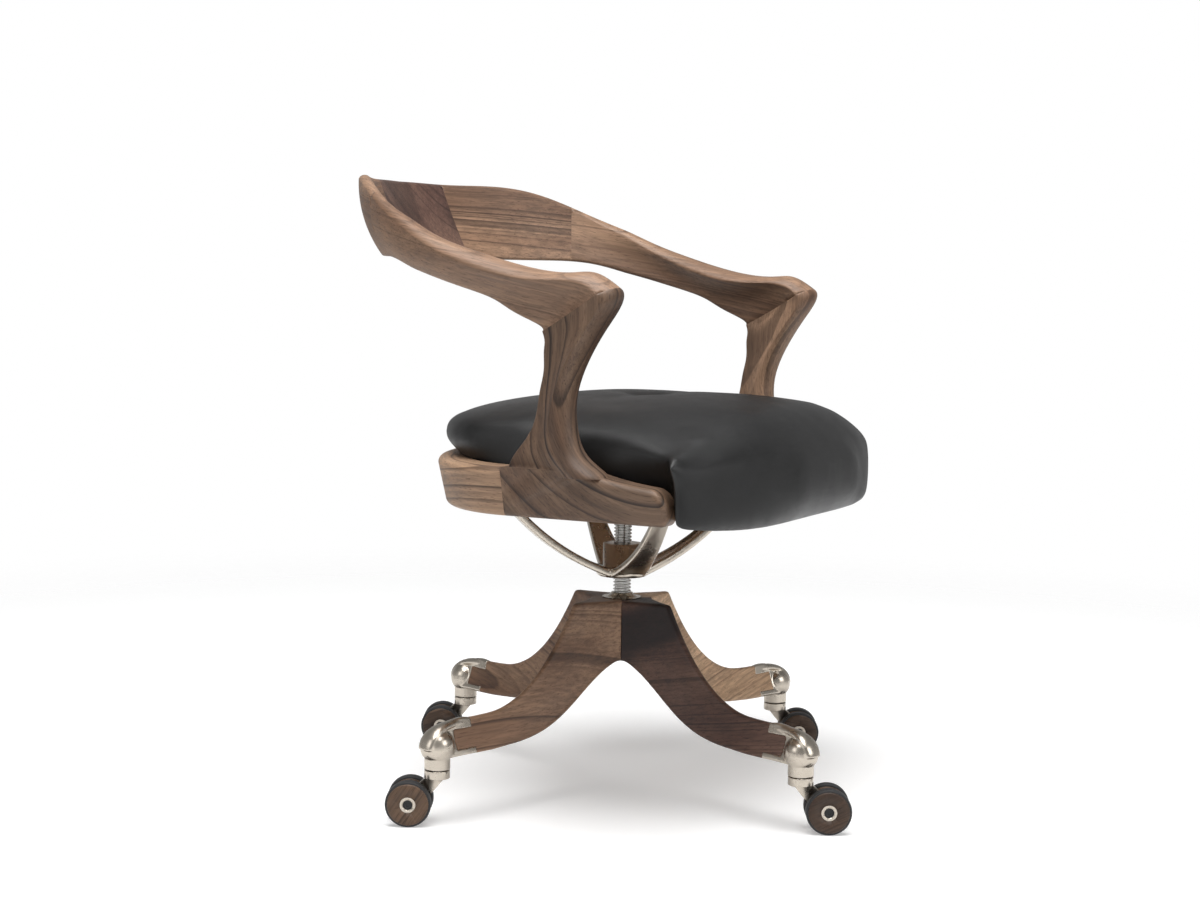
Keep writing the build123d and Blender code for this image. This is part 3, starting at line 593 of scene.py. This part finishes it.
# Walnut pieces: tone, how the grain runs, and where each was cut from its tree
loopGrain = {"centre": (0, 0.06, 0), "radius": 0.29}
railGrain = {"centre": (0, 0.006, 0), "radius": 0.28, "ratio": 1.73}
postGrain = {"centre": (0, -0.17, 0.48), "swap": True, "radius": 0.13}
walnutPieces = {
    "arm_right": {
        **loopGrain,
        "tone": "mid",
        "pith": (0.3, -0.16, -0.20),
        "slant": (0, -9, 4),
        "figure": 0.6,
    },
    "arm_left": {
        **loopGrain,
        "tone": "mid",
        "pith": (1.3, -0.44, -0.23),
        "slant": (0, -8, -4),
        "figure": 0.8,
    },
    "shoulder_right": {
        **loopGrain,
        "tone": "mid",
        "pith": (2.1, -0.12, -0.26),
        "slant": (0, -4, 3),
        "figure": 0.6,
    },
    "shoulder_left": {
        **loopGrain,
        "tone": "mid",
        "pith": (3.4, -0.10, -0.24),
        "figure": 0.9,
        "ring": 0.006,
    },
    "back_centre": {
        "tone": "deep",
        "turn": (0, 70, 25),
        "pith": (0.1, -0.05, 0.08),
        "waver": 0.07,
        "heart": 0.5,
    },
    "post_right": {
        **postGrain,
        "tone": "striped",
        "pith": (0.2, -0.06, 0.40),
        "ring": 0.010,
        "waver": 0.05,
        "figure": 1.0,
        "heart": 0.5,
    },
    "post_left": {
        **postGrain,
        "tone": "mid",
        "pith": (1.4, -0.08, -0.40),
        "ring": 0.006,
        "waver": 0.04,
    },
    "seat_rail_right": {
        **railGrain,
        "tone": "pale",
        "pith": (0.5, -0.20, -0.29),
        "ring": 0.008,
        "figure": 0.95,
    },
    "seat_rail_left": {
        **railGrain,
        "tone": "mid",
        "pith": (2.5, -0.20, -0.30),
        "ring": 0.008,
        "figure": 0.9,
    },
    "base_leg_1": {
        "tone": "mid",
        "turn": (0, 0, 71.5),
        "pith": (0.4, 0.03, -0.02),
        "ring": 0.008,
        "slant": (0, 12, 0),
    },
    "base_leg_2": {
        "tone": "mid",
        "turn": (0, 0, 161.5),
        "pith": (1.1, 0.05, 0.05),
        "ring": 0.009,
        "figure": 1.0,
    },
    "base_leg_3": {
        "tone": "deep",
        "turn": (0, 0, 251.5),
        "pith": (2.2, 0.04, 0.003),
        "slant": (0, 14, 0),
        "heart": 0.95,
    },
    "base_leg_4": {
        "tone": "light",
        "turn": (0, 0, 341.5),
        "pith": (3.0, 0.03, 0.05),
        "slant": (0, 16, 0),
        "ring": 0.008,
    },
}
# Each leg's ridge and shoulder are rounded, its mitres and its end in the cap stay crisp
legSpec = {"voxel": 0.001, "rounds": 110, "factor": 0.5, "mitre": (0.001, 0.006), "capEnd": (0.215, 0.185)}


def roundLeg(piece, turn):
    def weightOf(place):
        along = place.x * cos(turn) + place.y * sin(turn)
        aside = abs(place.y * cos(turn) - place.x * sin(turn))
        return ramp(along - aside, *legSpec["mitre"]) * ramp(along, *legSpec["capEnd"])

    smoothWhere(piece, legSpec, weightOf)


for nodeName, look in walnutPieces.items():
    piece = smoothCopy(nodeName, makeWalnut("walnut_" + nodeName, look))
    if nodeName.startswith("base_leg"):
        roundLeg(piece, radians(look["turn"][2]))

# Cast leg caps: nose, beak and jaw flow into each other round the stem
capSpec = {"voxel": 0.0008, "rounds": 12, "factor": 0.5, "reach": 0.024, "fade": 0.010, "sole": 0.0745}


def castCap(caster):
    piece = smoothCopy("leg_cap_" + caster, satinNickel)
    stem = Vector(jointOf(f"caster_{caster}_swivel")["pos_m"])

    def weightOf(place):
        if place.z <= capSpec["sole"]:
            return 0
        reach = Vector((place.x - stem.x, place.y - stem.y)).length
        return ramp(reach, capSpec["reach"] + capSpec["fade"], capSpec["reach"])

    smoothWhere(piece, capSpec, weightOf)


# Wheel discs are cut across the plank, each turned its own way
wheelSpec = {
    "tone": "nut",
    "ring": 0.006,
    "turns": {"1": 116.5, "2": 116.5, "3": 296.5, "4": 296.5},
    "twist": (20.0, 37, 61),  # degrees: the first disc, more for each caster, more for each side
    "pith": (0.04, 0.02),
}
for index, (caster, turn) in enumerate(wheelSpec["turns"].items()):
    for side, hand in enumerate("ab"):
        first, perCaster, perSide = wheelSpec["twist"]
        pithSide, pithUp = wheelSpec["pith"]
        look = {
            "tone": wheelSpec["tone"],
            "ring": wheelSpec["ring"],
            "turn": (0, first + perCaster * index + perSide * side, turn),
            "pith": (index, pithSide, pithUp + side),
        }
        smoothCopy(f"wheel_{caster}{hand}", makeWalnut(f"walnut_wheel_{caster}{hand}", look))
        smoothCopy(f"tyre_{caster}{hand}", tyreRubber)
    for nodeName in (f"caster_swivel_{caster}", f"caster_axle_{caster}"):
        smoothCopy(nodeName, satinNickel)
    castCap(caster)
for nodeName in ("seat_spider", "spindle_bush", "hub_plate", "spindle_collar", "height_nut"):
    smoothCopy(nodeName, satinNickel)
print("walnut and metal pieces finished")

# Hidden or tiny pieces keep their CAD surface
boardLook = {"tone": "pale", "turn": (0, 0, 90), "pith": (0.2, 0.3, 0.6), "ring": 0.012}
dowelLook = {"tone": "pale", "pith": (0.2, 0.1, 0.6)}
for nodeName in ("cap_screws", "spider_screws"):
    paint(cadNodes[nodeName], satinNickel)
paint(cadNodes["seat_board"], makeWalnut("plyBoard", boardLook))
paint(cadNodes["frame_dowels"], makeWalnut("dowelWood", dowelLook))


# Leather cushion, blown up from a slightly smaller core
cushionSpec = {
    "voxel": 0.006,
    "coreRounds": 22,
    "shrink": 0.002,  # taken off before the air swells it again
    "pressure": 4.0,
    "stiffness": 20.0,
    "mass": 0.3,
    "quality": 6,
    "frames": 20,
    "cap": 0.003,  # the furthest that the air may move a point
    "smoothing": 0.5,
    "skinRounds": 26,
    "settleRounds": 4,
    "heldTo": 0.402,  # height up to which rails, feet and board hold the leather
    "frontHold": -0.205,
    # the front falls away like a waterfall, most of all towards its two corners
    "fall": {"from": -0.10, "to": -0.262, "drop": 0.020, "heights": (0.385, 0.455)},
    "cornerFall": {"inner": 0.10, "outer": 0.276, "from": -0.06, "to": -0.21, "drop": 0.020},
    # the sole of the front roll hangs below the board's edge
    "hang": {"from": -0.175, "to": -0.205, "drop": 0.014, "heights": (0.41, 0.36)},
    # behind the posts the leather swells out over the rail
    "rear": {"from": 0.02, "to": 0.10, "swell": 0.08, "drop": 0.002, "heights": (0.394, 0.406)},
    # above the feet the sides widen towards the front roll
    "ease": {
        "from": -0.065,
        "to": -0.200,
        "inner": 0.17,
        "outer": 0.243,
        "width": 0.024,
        "heights": (0.398, 0.425),
    },
    "clearance": 0.0008,
    "searchReach": 0.012,  # how deep in the wood a point may lie and still be found
    "insideFacing": -0.5,  # a point squarely behind a face of the wood lies in it
    "neighbours": ("post_left", "post_right", "seat_rail_left", "seat_rail_right"),
    "tuft": {"place": (0.0, -0.034), "depth": 0.007, "reach": 0.030},
    "topFacing": 0.5,  # faces that look up at least this much take the tuft and the creases
    # creases that run out from the tuft: turn in degrees, length, depth, half width
    "creases": ((-8, 0.125, 0.0045, 0.0075), (176, 0.115, 0.0045, 0.0075), (88, 0.07, 0.0025, 0.009)),
    "creaseFade": 1.2,
    # pucker where the front roll turns round the end of each foot: low end, high end, rise, half width
    "pucker": ((0.268, -0.196, 0.396), (0.258, -0.172, 0.432), 0.0025, 0.006),
    "puckerFade": (0.15, 0.7),  # start and span of the half wave that it rises and falls by
}


# Air pressure swells the leather where nothing holds it, each point only up to the cap
def swellLeather(piece):
    held = piece.vertex_groups.new(name="held")
    for vertex in piece.data.vertices:
        if vertex.co.z < cushionSpec["heldTo"] and vertex.co.y > cushionSpec["frontHold"]:
            held.add([vertex.index], 1.0, "REPLACE")
    before = [vertex.co.copy() for vertex in piece.data.vertices]
    cloth = piece.modifiers.new("air", "CLOTH")
    cloth.settings.quality = cushionSpec["quality"]
    cloth.settings.mass = cushionSpec["mass"]
    cloth.settings.tension_stiffness = cushionSpec["stiffness"]
    cloth.settings.compression_stiffness = cushionSpec["stiffness"]
    cloth.settings.use_pressure = True
    cloth.settings.uniform_pressure_force = cushionSpec["pressure"]
    cloth.settings.effector_weights.gravity = 0
    cloth.settings.vertex_group_mass = "held"
    cloth.collision_settings.use_collision = False
    cloth.point_cache.frame_start = 1
    cloth.point_cache.frame_end = cushionSpec["frames"]
    for step in range(1, cushionSpec["frames"] + 1):
        scene.frame_set(step)
    pick(piece)
    bpy.ops.object.modifier_apply(modifier="air")
    scene.frame_set(1)
    for vertex, start in zip(piece.data.vertices, before):
        move = vertex.co - start
        if move.length > cushionSpec["cap"]:
            vertex.co = start + move.normalized() * cushionSpec["cap"]
    piece.vertex_groups.clear()


def fallOff(distance, reach):
    return exp(-((distance / reach) ** 2))


# Tuft in the middle of the seat, creases that run out from it, a pucker at each front corner
def sewLeather(piece):
    tuft = cushionSpec["tuft"]
    middle = Vector((*tuft["place"], 0))
    low, high, rise, width = cushionSpec["pucker"]
    fadeStart, fadeSpan = cushionSpec["puckerFade"]
    normals = [vertex.normal.copy() for vertex in piece.data.vertices]
    for vertex, normal in zip(piece.data.vertices, normals):
        spot = vertex.co.copy()
        if normal.z > cushionSpec["topFacing"]:
            flat = Vector((spot.x, spot.y, 0)) - middle
            vertex.co.z -= tuft["depth"] * fallOff(flat.length, tuft["reach"])
            for turn, length, depth, half in cushionSpec["creases"]:
                ahead = Vector((cos(radians(turn)), sin(radians(turn)), 0))
                along = flat.dot(ahead)
                if 0 < along < length:
                    across = (flat - ahead * along).length
                    fade = (1 - along / length) ** cushionSpec["creaseFade"]
                    vertex.co.z -= depth * fade * fallOff(across, half * (1 + along / length))
        for hand in (-1, 1):
            start = Vector((hand * low[0], low[1], low[2]))
            line = Vector((hand * high[0], high[1], high[2])) - start
            share = min(max((spot - start).dot(line) / line.length_squared, 0), 1)
            gap = (spot - start - line * share).length
            swell = sin(pi * (fadeStart + fadeSpan * share))
            vertex.co += normal * rise * fallOff(gap, width) * swell


# The core's outline before it is padded
def shapeLeather(piece):
    fall, corner, ease = cushionSpec["fall"], cushionSpec["cornerFall"], cushionSpec["ease"]
    hang, rear = cushionSpec["hang"], cushionSpec["rear"]
    for vertex in piece.data.vertices:
        across, along, height = abs(vertex.co.x), vertex.co.y, vertex.co.z
        upper = ramp(height, *fall["heights"])
        ahead = min(max((along - fall["from"]) / (fall["to"] - fall["from"]), 0), 1)
        drop = fall["drop"] * ahead**2
        aside = ramp(across, corner["inner"], corner["outer"])
        drop += corner["drop"] * aside * ramp(along, corner["from"], corner["to"])
        vertex.co.z -= drop * upper
        vertex.co.z -= hang["drop"] * ramp(along, hang["from"], hang["to"]) * ramp(height, *hang["heights"])
        behind = ramp(along, rear["from"], rear["to"])
        swell = 1 + rear["swell"] * behind * ramp(height, *rear["heights"])
        vertex.co.z -= rear["drop"] * behind * upper
        vertex.co.x *= swell
        vertex.co.y *= swell
        if along > ease["to"]:
            outward = ramp(across, ease["inner"], ease["outer"]) * ramp(along, ease["from"], ease["to"])
            step = ease["width"] * outward * ramp(height, *ease["heights"])
            vertex.co.x += step if vertex.co.x > 0 else -step


def soften(piece, name, rounds):
    applyModifier(piece, name, "SMOOTH", factor=cushionSpec["smoothing"], iterations=rounds)


# Leather that would touch the wood is pressed back from it
def clearNeighbours(piece):
    gap = cushionSpec["clearance"]
    for nodeName in cushionSpec["neighbours"]:
        wood = cadNodes[nodeName].data
        corners = [vertex.co for vertex in wood.vertices]
        tree = BVHTree.FromPolygons(corners, [face.vertices[:] for face in wood.polygons])
        for vertex in piece.data.vertices:
            spot, normal, face, distance = tree.find_nearest(vertex.co, cushionSpec["searchReach"])
            if spot is None:
                continue
            inside = (vertex.co - spot).dot(normal) < cushionSpec["insideFacing"] * distance
            if inside or distance < gap:
                vertex.co = spot + normal * gap


def makeCushion():
    piece = mergedCopy("seat_cushion", "cushion_leather")
    applyModifier(piece, "remesh", "REMESH", mode="VOXEL", voxel_size=cushionSpec["voxel"])
    shapeLeather(piece)
    soften(piece, "softenCore", cushionSpec["coreRounds"])
    applyModifier(piece, "shrink", "DISPLACE", strength=-cushionSpec["shrink"], mid_level=0.0)
    swellLeather(piece)
    soften(piece, "softenSkin", cushionSpec["skinRounds"])
    sewLeather(piece)
    applyModifier(piece, "finer", "SUBSURF", levels=1, render_levels=1)
    clearNeighbours(piece)
    soften(piece, "settle", cushionSpec["settleRounds"])
    bpy.ops.object.shade_smooth()
    paint(piece, blackLeather)
    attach(piece, "seat")
    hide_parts("seat_cushion")


makeCushion()
print("cushion made")


# Height screw: a cut thread above a plain journal
threadSpec = {
    "core": 0.0087,
    "crest": 0.0105,
    "pitch": 0.004,
    "steps": 40,
    "journal": 0.009,
    "clearance": 0.0003,
    # shares of the pitch: root, flank, crest, flank, root
    "profile": (0.14, 0.24, 0.24, 0.24, 0.14),
    "runIn": 2,  # turns cut below the thread's end, then trimmed
    "spareTurns": 4,
    "journalSides": 48,
    "merge": 0.00001,
    "smoothAngle": 40,
}


def selectFaces(obj, test):
    bpy.ops.object.mode_set(mode="EDIT")
    bpy.ops.mesh.select_mode(type="FACE")
    bpy.ops.mesh.select_all(action="DESELECT")
    mesh = bmesh.from_edit_mesh(obj.data)
    for face in mesh.faces:
        face.select = test(face)
    mesh.select_flush_mode()
    bmesh.update_edit_mesh(obj.data)


def makeThread():
    low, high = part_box("spindle")
    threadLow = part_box("spindle_bush")[1][2] + threadSpec["clearance"]
    pitch = threadSpec["pitch"]
    depth = threadSpec["crest"] - threadSpec["core"]
    deselectAll()
    bpy.ops.mesh.primitive_plane_add(size=pitch)
    rod = bpy.context.object
    rod.name = "spindle_thread"
    bpy.ops.object.mode_set(mode="EDIT")
    bpy.ops.mesh.select_all(action="SELECT")
    bpy.ops.mesh.merge(type="CENTER")
    bpy.ops.transform.translate(value=(threadSpec["core"], 0, threadLow - threadSpec["runIn"] * pitch))
    for share, side in zip(threadSpec["profile"], (0, depth, 0, -depth, 0)):
        bpy.ops.mesh.extrude_region_move(TRANSFORM_OT_translate={"value": (side, 0, share * pitch)})
    bpy.ops.object.mode_set(mode="OBJECT")
    turns = int((high[2] - threadLow) / pitch) + threadSpec["spareTurns"]
    applyModifier(
        rod,
        "cutThread",
        "SCREW",
        axis="Z",
        screw_offset=pitch,
        iterations=turns,
        steps=threadSpec["steps"],
        render_steps=threadSpec["steps"],
    )
    bpy.ops.object.mode_set(mode="EDIT")
    bpy.ops.mesh.select_all(action="SELECT")
    bpy.ops.mesh.remove_doubles(threshold=threadSpec["merge"])
    for level, below in ((threadLow, True), (high[2], False)):
        bpy.ops.mesh.select_all(action="SELECT")
        bpy.ops.mesh.bisect(
            plane_co=(0, 0, level),
            plane_no=(0, 0, 1),
            use_fill=True,
            clear_inner=below,
            clear_outer=not below,
        )
    bpy.ops.mesh.select_all(action="SELECT")
    bpy.ops.mesh.normals_make_consistent(inside=False)
    bpy.ops.mesh.select_all(action="DESELECT")
    bpy.ops.mesh.primitive_cylinder_add(
        vertices=threadSpec["journalSides"],
        radius=threadSpec["journal"],
        depth=threadLow - low[2],
        location=(0, 0, (threadLow + low[2]) / 2),
    )
    bpy.ops.object.mode_set(mode="OBJECT")
    pick(rod)
    bpy.ops.object.shade_smooth_by_angle(angle=radians(threadSpec["smoothAngle"]))
    rod.data.materials.append(brightSteel)
    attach(rod, "screw")
    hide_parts("spindle")


makeThread()
print("thread cut")


# Black plug with a key socket in each axle head
plugSpec = {
    "radius": 0.0053,
    "sunk": 0.0011,
    "thickness": 0.0016,
    "rim": 0.0021,
    "socketDepth": 0.0010,
    "bevel": 0.0003,
    "sides": 32,
    "topFacing": 0.9,
    "smoothAngle": 35,
}


def modelPlug():
    top = plugSpec["topFacing"]
    deselectAll()
    bpy.ops.mesh.primitive_cylinder_add(
        vertices=plugSpec["sides"], radius=plugSpec["radius"], depth=plugSpec["thickness"]
    )
    plug = bpy.context.object
    plug.name = "plugMaster"
    selectFaces(plug, lambda face: face.normal.z > top)
    bpy.ops.mesh.bevel(offset=plugSpec["bevel"], segments=2, affect="EDGES")
    selectFaces(plug, lambda face: face.normal.z > top and len(face.verts) > 4)
    bpy.ops.mesh.inset(thickness=plugSpec["rim"])
    bpy.ops.mesh.extrude_region_move(TRANSFORM_OT_translate={"value": (0, 0, -plugSpec["socketDepth"])})
    bpy.ops.object.mode_set(mode="OBJECT")
    return plug


def makePlugs():
    master = modelPlug()
    for caster in "1234":
        corners = [vertex.co for vertex in cadNodes["caster_axle_" + caster].data.vertices]
        for hand, side in (("a", 1), ("b", -1)):
            joint = jointOf(f"wheel_{caster}{hand}_spin")
            hub = Vector(joint["pos_m"])
            outward = Vector(joint["axis"]).normalized() * side
            reach = max((corner - hub).dot(outward) for corner in corners)
            seat = hub + outward * (reach - plugSpec["sunk"] - plugSpec["thickness"] / 2)
            plug = bpy.data.objects.new(f"axle_plug_{caster}{hand}", master.data.copy())
            scene.collection.objects.link(plug)
            turn = outward.to_track_quat("Z", "Y").to_matrix().to_4x4()
            plug.data.transform(Matrix.Translation(seat) @ turn)
            pick(plug)
            bpy.ops.object.shade_smooth_by_angle(angle=radians(plugSpec["smoothAngle"]))
            plug.data.materials.append(tyreRubber)
            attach(plug, "caster_" + caster)
    bpy.data.objects.remove(master)


makePlugs()
print("axle plugs seated")


# Pale floor that fades into the white backdrop, soft studio lamps
studio = {
    "floorSize": 9.0,
    "fadeStart": 0.9,
    "fadeEnd": 2.2,
    "floorColor": (0.80, 0.80, 0.80, 1),
    "floorGlow": 0.30,
    "skyLight": 0.22,
    "mirrorLow": 0.45,  # what shiny faces see of the backdrop, at the floor line and overhead
    "mirrorHigh": 0.25,
    "mirrorBand": (0.1, 0.7),
    "lamps": (
        # name, place, target, size, watts
        ("keySoftbox", (-0.5, -0.2, 2.5), (0, 0, 0.4), 2.0, 88.0),
        ("frontSoftbox", (-0.3, -2.8, 1.5), (0, 0, 0.4), 1.5, 24.0),
        ("sideSoftbox", (-2.4, 1.2, 1.4), (0, 0, 0.5), 1.4, 12.0),
    ),
}


def rayMask(tree):
    path = addNode(tree, "ShaderNodeLightPath")
    seen = mathNode(tree, "ADD", path.outputs["Is Camera Ray"], path.outputs["Is Glossy Ray"], True)
    return mathNode(tree, "ADD", seen, path.outputs["Is Transmission Ray"], True)


def makeFloor():
    bpy.ops.mesh.primitive_plane_add(size=studio["floorSize"])
    floor = bpy.context.object
    floor.name = "paleFloor"
    material = bpy.data.materials.new("paleFloor")
    material.use_nodes = True
    tree = material.node_tree
    tree.nodes.clear()
    out = addNode(tree, "ShaderNodeOutputMaterial")
    matte = addNode(tree, "ShaderNodeBsdfDiffuse", {"Color": studio["floorColor"]})
    glow = addNode(tree, "ShaderNodeEmission")
    tree.links.new(mathNode(tree, "MULTIPLY", rayMask(tree), studio["floorGlow"]), glow.inputs["Strength"])
    lit = addNode(tree, "ShaderNodeAddShader")
    tree.links.new(matte.outputs[0], lit.inputs[0])
    tree.links.new(glow.outputs[0], lit.inputs[1])
    clear = addNode(tree, "ShaderNodeBsdfTransparent")
    coords = addNode(tree, "ShaderNodeTexCoord")
    reach = addNode(tree, "ShaderNodeVectorMath", operation="LENGTH")
    tree.links.new(coords.outputs["Object"], reach.inputs[0])
    fade = spread(tree, reach.outputs["Value"], studio["fadeStart"], studio["fadeEnd"])
    blend = addNode(tree, "ShaderNodeMixShader")
    tree.links.new(fade, blend.inputs[0])
    tree.links.new(lit.outputs[0], blend.inputs[1])
    tree.links.new(clear.outputs[0], blend.inputs[2])
    tree.links.new(blend.outputs[0], out.inputs[0])
    floor.data.materials.append(material)


def makeWorld():
    world = bpy.data.worlds.new("whiteStudio")
    scene.world = world
    world.use_nodes = True
    tree = world.node_tree
    tree.nodes.clear()
    out = addNode(tree, "ShaderNodeOutputWorld")
    back = addNode(tree, "ShaderNodeBackground", {"Color": (1, 1, 1, 1)})
    coords = addNode(tree, "ShaderNodeTexCoord")
    part = addNode(tree, "ShaderNodeSeparateXYZ")
    tree.links.new(coords.outputs["Generated"], part.inputs[0])
    ends = studio["mirrorLow"], studio["mirrorHigh"]
    ceiling = spread(tree, part.outputs[2], *studio["mirrorBand"], *ends)
    mirrored = mixValue(tree, rayMask(tree), studio["skyLight"], ceiling)
    path = addNode(tree, "ShaderNodeLightPath")
    tree.links.new(mixValue(tree, path.outputs["Is Camera Ray"], mirrored, 1.0), back.inputs["Strength"])
    tree.links.new(back.outputs[0], out.inputs[0])


def makeLamps():
    for name, place, target, size, watts in studio["lamps"]:
        bpy.ops.object.light_add(type="AREA", location=place)
        lamp = bpy.context.object
        lamp.name = name
        lamp.data.size = size
        lamp.data.energy = watts
        away = Vector(target) - Vector(place)
        lamp.rotation_euler = away.to_track_quat("-Z", "Y").to_euler()


makeFloor()
makeWorld()
makeLamps()
print("studio set")

deselectAll()
